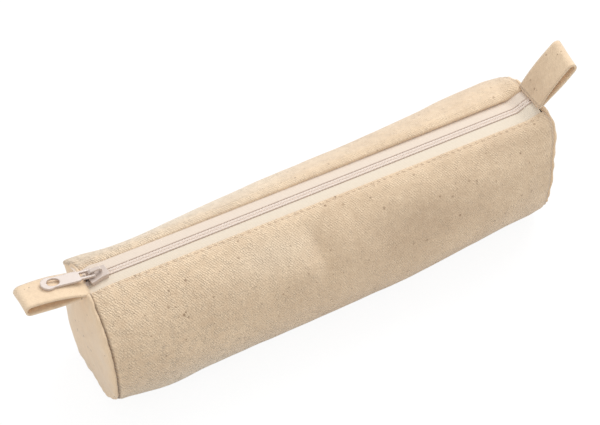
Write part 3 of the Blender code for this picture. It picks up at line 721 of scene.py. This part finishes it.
def maths(tree, operation, a, b=0.0, c=0.0):
    made = node(tree, "ShaderNodeMath", {0: a, 1: b, 2: c}, operation=operation)
    return made.outputs[0]


def blank_material(name, roughness, sheen=0.0):
    made = bpy.data.materials.new(name)
    made.use_nodes = True
    shader = made.node_tree.nodes["Principled BSDF"]
    shader.inputs["Roughness"].default_value = roughness
    shader.inputs["Sheen Weight"].default_value = sheen
    shader.inputs["Sheen Roughness"].default_value = 0.5
    return made, made.node_tree, shader


def mix_colour(tree, factor, first, second):
    made = node(tree, "ShaderNodeMix", {0: factor, 6: first, 7: second}, data_type="RGBA")
    return made.outputs[2]


def product(tree, a, b):
    return maths(tree, "MULTIPLY", a, b)


def difference(tree, a, b):
    return maths(tree, "SUBTRACT", a, b)


def grain_at(tree, place, scale, detail):
    """Soft noise of a scale, about 0.5 on the whole."""
    return node(tree, "ShaderNodeTexNoise", {"Vector": place, "Scale": scale, "Detail": detail}).outputs["Fac"]


def ribs(tree, phase):
    """Even waves from 0 to 1."""
    return maths(tree, "MULTIPLY_ADD", maths(tree, "SINE", phase), 0.5, 0.5)


def phase_along(tree, place, direction):
    """Phase of waves that run in a direction, whose length is their number of radians to the metre."""
    return node(tree, "ShaderNodeVectorMath", {0: place, 1: direction}, operation="DOT_PRODUCT").outputs["Value"]


def map_range(tree, value, start, stop, first, last):
    """Values from first to last as a value goes from start to stop, and no further."""
    return node(tree, "ShaderNodeMapRange", {0: value, 1: start, 2: stop, 3: first, 4: last}).outputs[0]


def clamp(tree, value):
    return node(tree, "ShaderNodeClamp", {0: value}).outputs[0]


def cloth_place(tree):
    """Each point's place on the flat cloth: whole, along and across."""
    place = node(tree, "ShaderNodeAttribute", attribute_name="cloth").outputs["Vector"]
    parts = node(tree, "ShaderNodeSeparateXYZ", {0: place})
    return place, parts.outputs[0], parts.outputs[1]


def add_bump(tree, shader, height, depth, strength):
    bump = node(tree, "ShaderNodeBump", {"Height": height, "Distance": depth, "Strength": strength})
    tree.links.new(bump.outputs[0], shader.inputs["Normal"])


CANVAS_LIGHT = (0.98, 0.755, 0.516, 1)
CANVAS_DARK = (0.66, 0.477, 0.311, 1)
FLECK = (0.25, 0.13, 0.06, 1)
# Painted shade for the dimpled needle holes along the front hem
STITCH_HOLE_SHADE = (0.30, 0.17, 0.09, 1)
# Painted shade for the crease of the end seams and the loops' roots
SEAM_SHADE = (0.27, 0.17, 0.10, 1)
# Painted shade: a brown that darkens hollows, the band under the hem and a loop's root
PAINTED_SHADE = (0.46, 0.31, 0.20, 1)
# Painted light: a paler cream for places that catch more light
PAINTED_LIGHT = (0.98, 0.86, 0.69, 1)
# Broad patches of painted light and painted shade on the tube's cloth: middle along it, middle from the front hem,
# half sizes, share, colour.
PATCHES = (
    (0.036, 0.026, 0.032, 0.012, 0.30, PAINTED_SHADE),
    (0.080, 0.006, 0.012, 0.006, 0.18, PAINTED_SHADE),
    (-0.068, 0.060, 0.036, 0.012, 0.60, PAINTED_LIGHT),
    (-0.030, 0.013, 0.018, 0.008, 0.22, PAINTED_LIGHT),
    (-0.060, 0.153, 0.055, 0.016, 0.70, PAINTED_LIGHT),
)
TUBE_SEAM_IN, PANEL_SEAM_IN = 0.0007, 0.0003
SEAM_HALF_WIDTH = 0.0011
SEAM_FADE = 0.0007
SEAM_FRONT_ARC = 0.095
SEAM_FRONT_REACH = 0.006
HOLE_RADIUS, HOLE_SHADE = 0.0006, 0.5
# Painted shade on a loop, darkest near its root and gone towards its tip: where it starts and stops along the strap
ROOT_SHADE_FROM, ROOT_SHADE_TO = 0.004, 0.021
# How far the ribs wander with the noises, and what weft and grain add to them
BLOTCH_WANDER, SLUB_WANDER = 8.5, 9.0
WEFT_FINENESS, WEFT_LEAN, WEFT_SHARE = 1.3, 0.2, 0.22
GRAIN_SHARE = 0.55
# The ribs stand out most at the left end
BOLD_FROM, BOLD_TO, BOLDEST, PLAINEST = -0.09, 0.0, 1.95, 0.95
YARN_CONTRAST, YARN_MIDDLE, TONE_LEVEL = 0.45, 0.385, 1.16
CANVAS_BUMP = 0.00022
FLECK_SHIFT = (0.013, 0.004, 0)
# Dark flecks of seed: fineness, share of places without one, growth of the size beyond it, darkness
FLECKS = ((170, 0.47, 0.21, 0.58), (330, 0.46, 0.38, 0.42))
# Uneven tone: which noise, and how strong
TONES = (("blotch", 0.5), ("slub", 0.5), ("patch", 0.7), ("mottle", 0.62))
CALM_ENDS = 0.55


def twill(tree, place, along, blotch, slub):
    """Height of the yarns: slanted ribs, broken where they are worn, with a finer weft and grain on them."""
    turn = 2 * math.pi / TWILL_PERIOD
    phase = phase_along(tree, place, (-turn * math.sin(TWILL_LEAN), turn * math.cos(TWILL_LEAN), 0))
    phase = maths(tree, "MULTIPLY_ADD", blotch, BLOTCH_WANDER, phase)
    rib = ribs(tree, maths(tree, "MULTIPLY_ADD", slub, SLUB_WANDER, phase))
    fine = turn * WEFT_FINENESS
    weft = ribs(tree, phase_along(tree, place, (fine * math.cos(WEFT_LEAN), fine * math.sin(WEFT_LEAN), 0)))
    worn = map_range(tree, grain_at(tree, place, 340, 2), 0.35, 0.65, 0.15, 0.75)
    bold = map_range(tree, along, BOLD_FROM, BOLD_TO, BOLDEST, PLAINEST)
    yarn = maths(tree, "MULTIPLY_ADD", weft, WEFT_SHARE, product(tree, product(tree, rib, worn), bold))
    return maths(tree, "MULTIPLY_ADD", grain_at(tree, place, 1700, 1), GRAIN_SHARE, yarn)


def add_flecks(tree, place, colour):
    """Dark flecks of seed over a colour."""
    moved = node(tree, "ShaderNodeVectorMath", {0: place, 1: FLECK_SHIFT}, operation="ADD").outputs[0]
    for scale, rarity, growth, strength in FLECKS:
        cells = node(tree, "ShaderNodeTexVoronoi", {"Vector": moved, "Scale": scale}, feature="F1")
        chosen = node(tree, "ShaderNodeSeparateColor", {0: cells.outputs["Color"]}).outputs[0]
        size = product(tree, difference(tree, chosen, rarity), growth)
        spot = maths(tree, "LESS_THAN", cells.outputs["Distance"], size)
        colour = mix_colour(tree, product(tree, spot, strength), colour, FLECK)
    return colour


def add_patches(tree, along, across, colour):
    """Broad patches of painted light and painted shade over a colour of the tube's cloth."""
    for middle_x, middle_y, half_x, half_y, share, tint in PATCHES:
        off_x = maths(tree, "DIVIDE", difference(tree, along, middle_x), half_x)
        off_y = maths(tree, "DIVIDE", difference(tree, across, middle_y), half_y)
        far = maths(tree, "MULTIPLY_ADD", off_x, off_x, product(tree, off_y, off_y))
        near = maths(tree, "EXPONENT", product(tree, far, -1.0))
        colour = mix_colour(tree, product(tree, near, share), colour, tint)
    return colour


def add_needle_holes(tree, along, across, colour):
    """Painted shade in a spot round each place where the needle went through the front hem, where the thread dimples
    the cloth.
    """
    beat = maths(tree, "PINGPONG", along, STITCH_PITCH / 2)
    away = maths(tree, "ABSOLUTE", difference(tree, across, HEM_STITCH))
    far = maths(tree, "SQRT", maths(tree, "ADD", product(tree, beat, beat), product(tree, away, away)))
    hole = clamp(tree, difference(tree, 1.0, maths(tree, "DIVIDE", far, HOLE_RADIUS)))
    return mix_colour(tree, product(tree, hole, HOLE_SHADE), colour, STITCH_HOLE_SHADE)


def add_seam_shade(tree, place, along, across, seam, shades, round_seam, colour):
    """Painted shade in a line along the seam's crease or a loop's root edge, with one strength at the front of the
    left end and another elsewhere.
    """
    if round_seam:
        reach = node(tree, "ShaderNodeVectorMath", {0: place}, operation="LENGTH").outputs["Value"]
        front = maths(tree, "LESS_THAN", along, SEAM_FRONT_REACH)
    else:
        reach = maths(tree, "ABSOLUTE", along)
        front = maths(tree, "LESS_THAN", across, SEAM_FRONT_ARC)
        front = product(tree, front, maths(tree, "LESS_THAN", along, 0.0))
    off_seam = maths(tree, "ABSOLUTE", difference(tree, reach, seam))
    near = clamp(tree, difference(tree, SEAM_HALF_WIDTH / SEAM_FADE, maths(tree, "DIVIDE", off_seam, SEAM_FADE)))
    strength = maths(tree, "MULTIPLY_ADD", front, shades[0] - shades[1], shades[1])
    return mix_colour(tree, product(tree, near, strength), colour, SEAM_SHADE)


def canvas_material(name, relief, seam, shades, stitched=False, round_seam=False, root_shade=0.0):
    """Unbleached cotton twill: slanted ribs, uneven yarns, dark flecks of seed, painted shade along the seam, and
    painted light and shade in patches, at needle holes and towards a loop's root.
    """
    made, tree, shader = blank_material(name, roughness=0.92, sheen=0.5)
    place, along, across = cloth_place(tree)
    uneven = {
        "blotch": grain_at(tree, place, 900, 2),
        "slub": grain_at(tree, place, 120, 3),
        "patch": grain_at(tree, place, 42, 3),
        "mottle": grain_at(tree, place, 300, 2),
    }
    yarn = twill(tree, place, along, uneven["blotch"], uneven["slub"])
    tone = maths(tree, "MULTIPLY_ADD", yarn, YARN_CONTRAST * relief, -YARN_CONTRAST - YARN_MIDDLE * relief)
    calm = CALM_ENDS if round_seam else 1.0
    for word, amount in TONES:
        tone = maths(tree, "MULTIPLY_ADD", difference(tree, uneven[word], 0.5), amount * calm, tone)
    colour = mix_colour(tree, maths(tree, "ADD", tone, TONE_LEVEL), CANVAS_DARK, CANVAS_LIGHT)
    colour = add_flecks(tree, place, colour)
    if stitched:
        # Painted light and painted shade in broad patches
        colour = add_patches(tree, along, across, colour)
        # Painted shade at the needle holes
        colour = add_needle_holes(tree, along, across, colour)
    # Painted shade along the seam's crease
    colour = add_seam_shade(tree, place, along, across, seam, shades, round_seam, colour)
    # Painted shade that darkens the loop towards its root
    if root_shade:
        dim = map_range(tree, along, ROOT_SHADE_FROM, ROOT_SHADE_TO, root_shade, 0.0)
        colour = mix_colour(tree, dim, colour, PAINTED_SHADE)
    tree.links.new(colour, shader.inputs["Base Color"])
    add_bump(tree, shader, yarn, CANVAS_BUMP * relief, 0.9)
    return made


BACK_TAPE_PALE, BACK_TAPE_DARK = (0.90, 0.77, 0.65, 1), (0.78, 0.65, 0.53, 1)
FRONT_TAPE_PALE, FRONT_TAPE_DARK = (0.885, 0.775, 0.635, 1), (0.765, 0.655, 0.515, 1)
TAPE_RIB_PITCH, TAPE_WEFT_PITCH = 0.00075, 0.0005
TAPE_BUMP = 0.00008
# Pale and dark colour of each fine-grained finish
NYLON = ((0.87, 0.74, 0.64, 1), (0.82, 0.69, 0.59, 1))
HEM_THREAD = ((0.80, 0.62, 0.45, 1), (0.66, 0.48, 0.33, 1))
ZIP_THREAD = ((0.60, 0.475, 0.39, 1), (0.50, 0.385, 0.31, 1))
ENAMEL = ((0.68, 0.57, 0.50, 1), (0.62, 0.51, 0.44, 1))


def tape_material():
    """Woven tape: fine ribs along its length, with the front half a little yellower than the back."""
    made, tree, shader = blank_material("zip_tape_weave", roughness=0.85, sheen=0.2)
    place, along, across = cloth_place(tree)
    rib = ribs(tree, product(tree, across, 2 * math.pi / TAPE_RIB_PITCH))
    weft = ribs(tree, product(tree, along, 2 * math.pi / TAPE_WEFT_PITCH))
    height = maths(tree, "MULTIPLY_ADD", weft, 0.3, product(tree, rib, 0.7))
    tone = maths(tree, "MULTIPLY_ADD", grain_at(tree, place, 700, 2), 0.5, product(tree, height, 0.5))
    front = maths(tree, "LESS_THAN", across, 0.0)
    pale = mix_colour(tree, front, BACK_TAPE_PALE, FRONT_TAPE_PALE)
    dark = mix_colour(tree, front, BACK_TAPE_DARK, FRONT_TAPE_DARK)
    tree.links.new(mix_colour(tree, tone, dark, pale), shader.inputs["Base Color"])
    add_bump(tree, shader, height, TAPE_BUMP, 0.7)
    return made


def speckled_material(name, colours, roughness, scale, depth=0.00003, coat=0.0):
    """A fine-grained finish between a pale and a dark colour."""
    made, tree, shader = blank_material(name, roughness)
    grain = grain_at(tree, node(tree, "ShaderNodeTexCoord").outputs["Object"], scale, 3)
    pale, dark = colours
    tree.links.new(mix_colour(tree, grain, dark, pale), shader.inputs["Base Color"])
    add_bump(tree, shader, grain, depth, 0.5)
    shader.inputs["Coat Weight"].default_value = coat
    return made


# Cast pieces with the voxel size and the smoothing passes that soften their edges
CASTINGS = (
    ("slider_body", 0.00011, 4),
    ("pull_tab", 0.00012, 3),
    ("top_stop_front", 0.00009, 3),
    ("top_stop_back", 0.00009, 3),
)


def round_off(name, voxel, passes, finish):
    """Gives a CAD piece the soft edges of a casting and its own finish."""
    obj = frame["nodes"][name]
    obj.data.materials.clear()
    obj.data.materials.append(finish)
    remesh = obj.modifiers.new("cast", "REMESH")
    remesh.mode = "VOXEL"
    remesh.voxel_size = voxel
    remesh.use_smooth_shade = True
    smooth = obj.modifiers.new("wear", "SMOOTH")
    smooth.factor = 0.5
    smooth.iterations = passes


def make_zip(tape, coil, thread):
    """Both halves of the zip, each in two lengths that meet at the middle."""
    free = np.linspace(TAPE_EDGE_GAP / 2, MOUTH_HALF, FREE_COLUMNS)
    margin = np.linspace(MOUTH_HALF, MOUTH_HALF + TAPE_UNDERLAP, MARGIN_COLUMNS)
    slider_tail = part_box("slider_body")[0].x + JOINTS["slider_slide"]["range_m"][1]
    lengths = (("left", -ZIP_END, 0.0, -ZIP_END), ("right", 0.0, ZIP_END + TAPE_TUCK, slider_tail))
    for word, side in (("front", -1), ("back", 1)):
        under = tape_strip("tape_margin_" + word, side, -ZIP_END, ZIP_END + TAPE_TUCK, margin, tape)
        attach(under, "case")
        for end, start_u, stop_u, held_at in lengths:
            strip = tape_strip(f"tape_{word}_{end}", side, start_u, stop_u, free, tape)
            teeth = (-int(-SLIDER_REST / TOOTH_PITCH), -1) if end == "left" else (0, int(ZIP_END / TOOTH_PITCH) - 1)
            wire = coil_path(side, *teeth)
            loops = tubes_object(f"coil_{word}_{end}", [wire], COIL_WIRE / 2, COIL_SIDES, coil)
            cord = core_path(side, max(start_u, SLIDER_REST), stop_u, COIL_CORE_PLACE, COIL_MIDDLE)
            name = f"coil_cord_{word}_{end}"
            core = tubes_object(name, [cord], COIL_CORE / 2, CORE_SIDES, coil, COIL_CORE_FLATNESS)
            name = f"coil_thread_{word}_{end}"
            sewn = tubes_object(name, coil_stitches(side, *teeth), COIL_THREAD / 2, THREAD_SIDES, thread)
            for piece in (strip, loops, core, sewn):
                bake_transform(piece)
        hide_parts("tape_" + word)
        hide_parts("coil_" + word)


# Name, place, size, power and colour of each lamp
LAMPS = (
    ("key", (1.09, 0.75, 1.44), (1.28, 1.28), 23.4, (0.985, 1.0, 1.01)),
    ("left_fill", (-1.05, -0.25, 0.25), (0.7, 0.5), 0.95, (1.0, 0.99, 0.97)),
)
LAMP_AIM = (0, 0, 0.03)
WHITE = (1, 1, 1, 1)
ROOM_LIGHT, ROOM_STRENGTH = (0.97, 0.98, 1.0, 1), 0.70
FLOOR_REACH = 3.0
FLOOR_BOUNCE = (0.76, 0.735, 0.69, 1)
FLOOR_PALE = (0.9, 0.9, 0.9, 1)
FLOOR_GLOW, FLOOR_GLOW_SHARE = 1.06, 0.86


def area_light(name, place, size, power, colour):
    """A soft rectangular lamp that points at the case."""
    light = bpy.data.lights.new(name, "AREA")
    light.shape = "RECTANGLE"
    light.size, light.size_y = size
    light.energy = power
    light.color = colour
    obj = new_object(name, light)
    obj.location = place
    obj.rotation_euler = (Vector(LAMP_AIM) - Vector(place)).to_track_quat("-Z", "Y").to_euler()


def seen_directly(tree):
    """1 where a ray comes from the camera, straight or by way of gloss or glass, and 0 for bounced light."""
    path = node(tree, "ShaderNodeLightPath")
    seen = maths(tree, "MAXIMUM", path.outputs["Is Camera Ray"], path.outputs["Is Glossy Ray"])
    return maths(tree, "MAXIMUM", seen, path.outputs["Is Transmission Ray"])


def mix_shaders(tree, factor, first, second):
    return node(tree, "ShaderNodeMixShader", {0: factor, 1: first.outputs[0], 2: second.outputs[0]})


def make_studio():
    """A white floor and background for the camera, a big soft lamp above and weak light from all round."""
    scene = bpy.context.scene
    world = bpy.data.worlds.new("studio")
    scene.world = world
    world.use_nodes = True
    tree = world.node_tree
    tree.nodes.clear()
    dim = node(tree, "ShaderNodeBackground", {"Color": ROOM_LIGHT, "Strength": ROOM_STRENGTH})
    white = node(tree, "ShaderNodeBackground", {"Color": WHITE, "Strength": 1.0})
    mixed = mix_shaders(tree, seen_directly(tree), dim, white)
    node(tree, "ShaderNodeOutputWorld", {0: mixed.outputs[0]})
    for lamp in LAMPS:
        area_light(*lamp)
    mesh = bpy.data.meshes.new("floor")
    reach = FLOOR_REACH
    corners = [(-reach, -reach, 0), (reach, -reach, 0), (reach, reach, 0), (-reach, reach, 0)]
    mesh.from_pydata(corners, [], [(0, 1, 2, 3)])
    floor = new_object("floor", mesh)
    finish = bpy.data.materials.new("floor_paper")
    finish.use_nodes = True
    tree = finish.node_tree
    tree.nodes.clear()
    paper = node(tree, "ShaderNodeBsdfDiffuse", {"Color": FLOOR_BOUNCE})
    pale = node(tree, "ShaderNodeBsdfDiffuse", {"Color": FLOOR_PALE})
    glow = node(tree, "ShaderNodeEmission", {"Color": WHITE, "Strength": FLOOR_GLOW})
    lit = mix_shaders(tree, FLOOR_GLOW_SHARE, pale, glow)
    mixed = mix_shaders(tree, seen_directly(tree), paper, lit)
    node(tree, "ShaderNodeOutputMaterial", {0: mixed.outputs[0]})
    mesh.materials.append(finish)
    scene.view_settings.view_transform = "Standard"


def make_camera():
    """The camera of the picture, which shows the middle of the tube's axis at AXIS_PIXEL."""
    level = math.cos(CAMERA_ELEVATION)
    back = Vector((math.sin(CAMERA_AZIMUTH) * level, -math.cos(CAMERA_AZIMUTH) * level, math.sin(CAMERA_ELEVATION)))
    camera = bpy.data.cameras.new("camera")
    camera.sensor_width = SENSOR_WIDTH
    camera.lens = FOCAL_PIXELS * SENSOR_WIDTH / IMAGE_WIDTH
    camera.shift_x = (IMAGE_WIDTH / 2 - AXIS_PIXEL[0]) / IMAGE_WIDTH
    camera.shift_y = (AXIS_PIXEL[1] - IMAGE_HEIGHT / 2) / IMAGE_WIDTH
    camera.clip_start, camera.clip_end = CLIP_START, CLIP_END
    obj = new_object("camera", camera)
    obj.location = Vector((0, 0, AXIS_Z)) + back * CAMERA_DISTANCE
    obj.rotation_euler = back.to_track_quat("Z", "Y").to_euler()
    bpy.context.scene.camera = obj


def main():
    make_camera()
    make_studio()
    tube_seam = HALF_LENGTH - TUBE_SEAM_IN
    body_canvas = canvas_material("canvas_body", relief=1.35, seam=tube_seam, shades=(0.9, 0.35), stitched=True)
    left_canvas = canvas_material("canvas_loop_left", relief=0.4, seam=0.0, shades=(0.25, 0.25))
    # The right loop gets painted shade towards its root
    right_canvas = canvas_material("canvas_loop_right", relief=0.55, seam=0.0, shades=(0.25, 0.25), root_shade=0.27)
    end_profile, seam_row = panel_profile()
    seam_reach = float(running_length(end_profile)[seam_row - 1]) - PANEL_SEAM_IN
    end_canvases = [
        canvas_material("canvas_end_" + word, relief=0.4, seam=seam_reach, shades=shades, round_seam=True)
        for word, shades in (("left", (0.85, 0.25)), ("right", (0.25, 0.25)))
    ]
    tape = tape_material()
    coil = speckled_material("coil_nylon", NYLON, roughness=0.6, scale=900)
    thread = speckled_material("thread_cotton", HEM_THREAD, roughness=0.8, scale=3000)
    coil_thread = speckled_material("thread_zip", ZIP_THREAD, roughness=0.8, scale=3000)
    enamel = speckled_material("slider_enamel_paint", ENAMEL, roughness=0.34, scale=400, depth=0.00002, coat=0.35)
    tube, flat = make_tube(body_canvas)
    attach(tube, "case")
    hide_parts("body_panel")
    ends = (("end_left", "end_panel_left", -1), ("end_right", "end_panel_right", 1))
    for (name, node_name, side), end_canvas in zip(ends, end_canvases):
        panel, across = make_end_panel(name, side, end_canvas)
        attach(panel, "case")
        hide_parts(node_name)
    for name, node_name, body, shape, loop_canvas in (
        ("loop_left", "tab_left", "left_tab", LEFT_LOOP, left_canvas),
        ("loop_right", "tab_right", "right_tab", RIGHT_LOOP, right_canvas),
    ):
        tab, strap = make_tab(name, loop_canvas, **shape)
        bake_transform(tab)
        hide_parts(node_name)
    make_zip(tape, coil, coil_thread)
    row = tubes_object("hem_stitches", hem_stitches(), STITCH_RADIUS, THREAD_SIDES, thread)
    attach(row, "case")
    for name, voxel, passes in CASTINGS:
        round_off(name, voxel, passes, enamel)


main()
